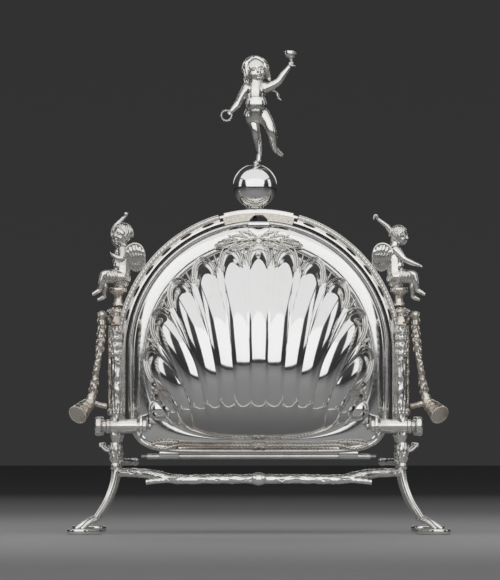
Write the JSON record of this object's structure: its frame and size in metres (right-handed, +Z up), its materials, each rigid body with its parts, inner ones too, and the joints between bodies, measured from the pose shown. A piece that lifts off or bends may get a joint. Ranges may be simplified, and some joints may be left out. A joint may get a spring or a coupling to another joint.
{
  "type": "folding biscuit box",
  "caption": "Silver folding biscuit box: fluted scallop halves swing down out of an arch on a branch-work stand, with pierced inner grilles, seated cherubs and a putto finial.",
  "frame": {"origin": "on the ground plane, in the middle between the four feet", "axes": "+Z up to the figure's cup, +X to the right across the wide front, the front half opens towards -Y"},
  "size_m": [0.3046, 0.1532, 0.3897],
  "materials": {
    "bowl_silver": "polished silver plate with fine wiping scratches",
    "cast_silver": "cast and chased silver plate, warm tarnish in the recesses",
    "old_silver": "cast silver plate, tarnished brown in the hollows",
    "steel": "plain drawn steel"
  },
  "bodies": {
    "stand": {"leg_front_right": "cast_silver", "leg_front_left": "cast_silver", "leg_rear_left": "cast_silver", "leg_rear_right": "cast_silver", "upright_front_right": "cast_silver", "upright_front_left": "cast_silver", "upright_rear_left": "cast_silver", "upright_rear_right": "cast_silver", "stretcher_front": "cast_silver", "stretcher_rear": "cast_silver", "side_stretcher_right": "cast_silver", "side_stretcher_left": "cast_silver", "crown_yoke_right": "old_silver", "crown_yoke_left": "old_silver", "low_yoke_right": "old_silver", "low_yoke_left": "old_silver", "centre_post_right": "old_silver", "centre_post_left": "old_silver", "branch_handle_right": "old_silver", "branch_handle_left": "old_silver", "seat_right": "old_silver", "seat_left": "old_silver", "cherub_right": "cast_silver", "cherub_left": "cast_silver", "arch_right": "cast_silver", "arch_left": "cast_silver", "arch_bridge": "cast_silver", "catch_housing": "cast_silver", "catch_spring": "steel", "finial_stud": "steel", "finial_nut": "steel", "finial_ball": "bowl_silver", "putto": "cast_silver"},
    "front_half": {"shell_front": "bowl_silver", "rim_front": "bowl_silver", "rope_border_front": "old_silver", "cartouche_front": "cast_silver", "grille_rod_front": "steel", "axle_front_right": "cast_silver", "axle_front_left": "cast_silver", "knob_front_right": "cast_silver", "knob_front_left": "cast_silver"},
    "rear_half": {"shell_rear": "bowl_silver", "rim_rear": "bowl_silver", "rope_border_rear": "old_silver", "cartouche_rear": "cast_silver", "grille_rod_rear": "steel", "axle_rear_left": "cast_silver", "axle_rear_right": "cast_silver", "knob_rear_left": "cast_silver", "knob_rear_right": "cast_silver"},
    "front_grille": {"grille_front": "cast_silver", "grille_pull_front": "cast_silver"},
    "rear_grille": {"grille_rear": "cast_silver", "grille_pull_rear": "cast_silver"}
  },
  "joints": [
    {"name": "front_half_hinge", "type": "hinge", "parent": "stand", "child": "front_half", "pos_m": [0, -0.039, 0.086], "axis": [1, 0, 0], "range_deg": [0, 90]},
    {"name": "rear_half_hinge", "type": "hinge", "parent": "stand", "child": "rear_half", "pos_m": [0, 0.039, 0.086], "axis": [-1, 0, 0], "range_deg": [0, 90]},
    {"name": "front_grille_hinge", "type": "hinge", "parent": "front_half", "child": "front_grille", "pos_m": [0, -0.0141, 0.0617], "axis": [1, 0, 0], "range_deg": [-72, 0]},
    {"name": "rear_grille_hinge", "type": "hinge", "parent": "rear_half", "child": "rear_grille", "pos_m": [0, 0.0141, 0.0617], "axis": [-1, 0, 0], "range_deg": [-72, 0]}
  ],
  "couplings": [
    {"joint": "front_grille_hinge", "follows": "front_half_hinge", "ratio": -0.8},
    {"joint": "rear_grille_hinge", "follows": "rear_half_hinge", "ratio": -0.8}
  ]
}
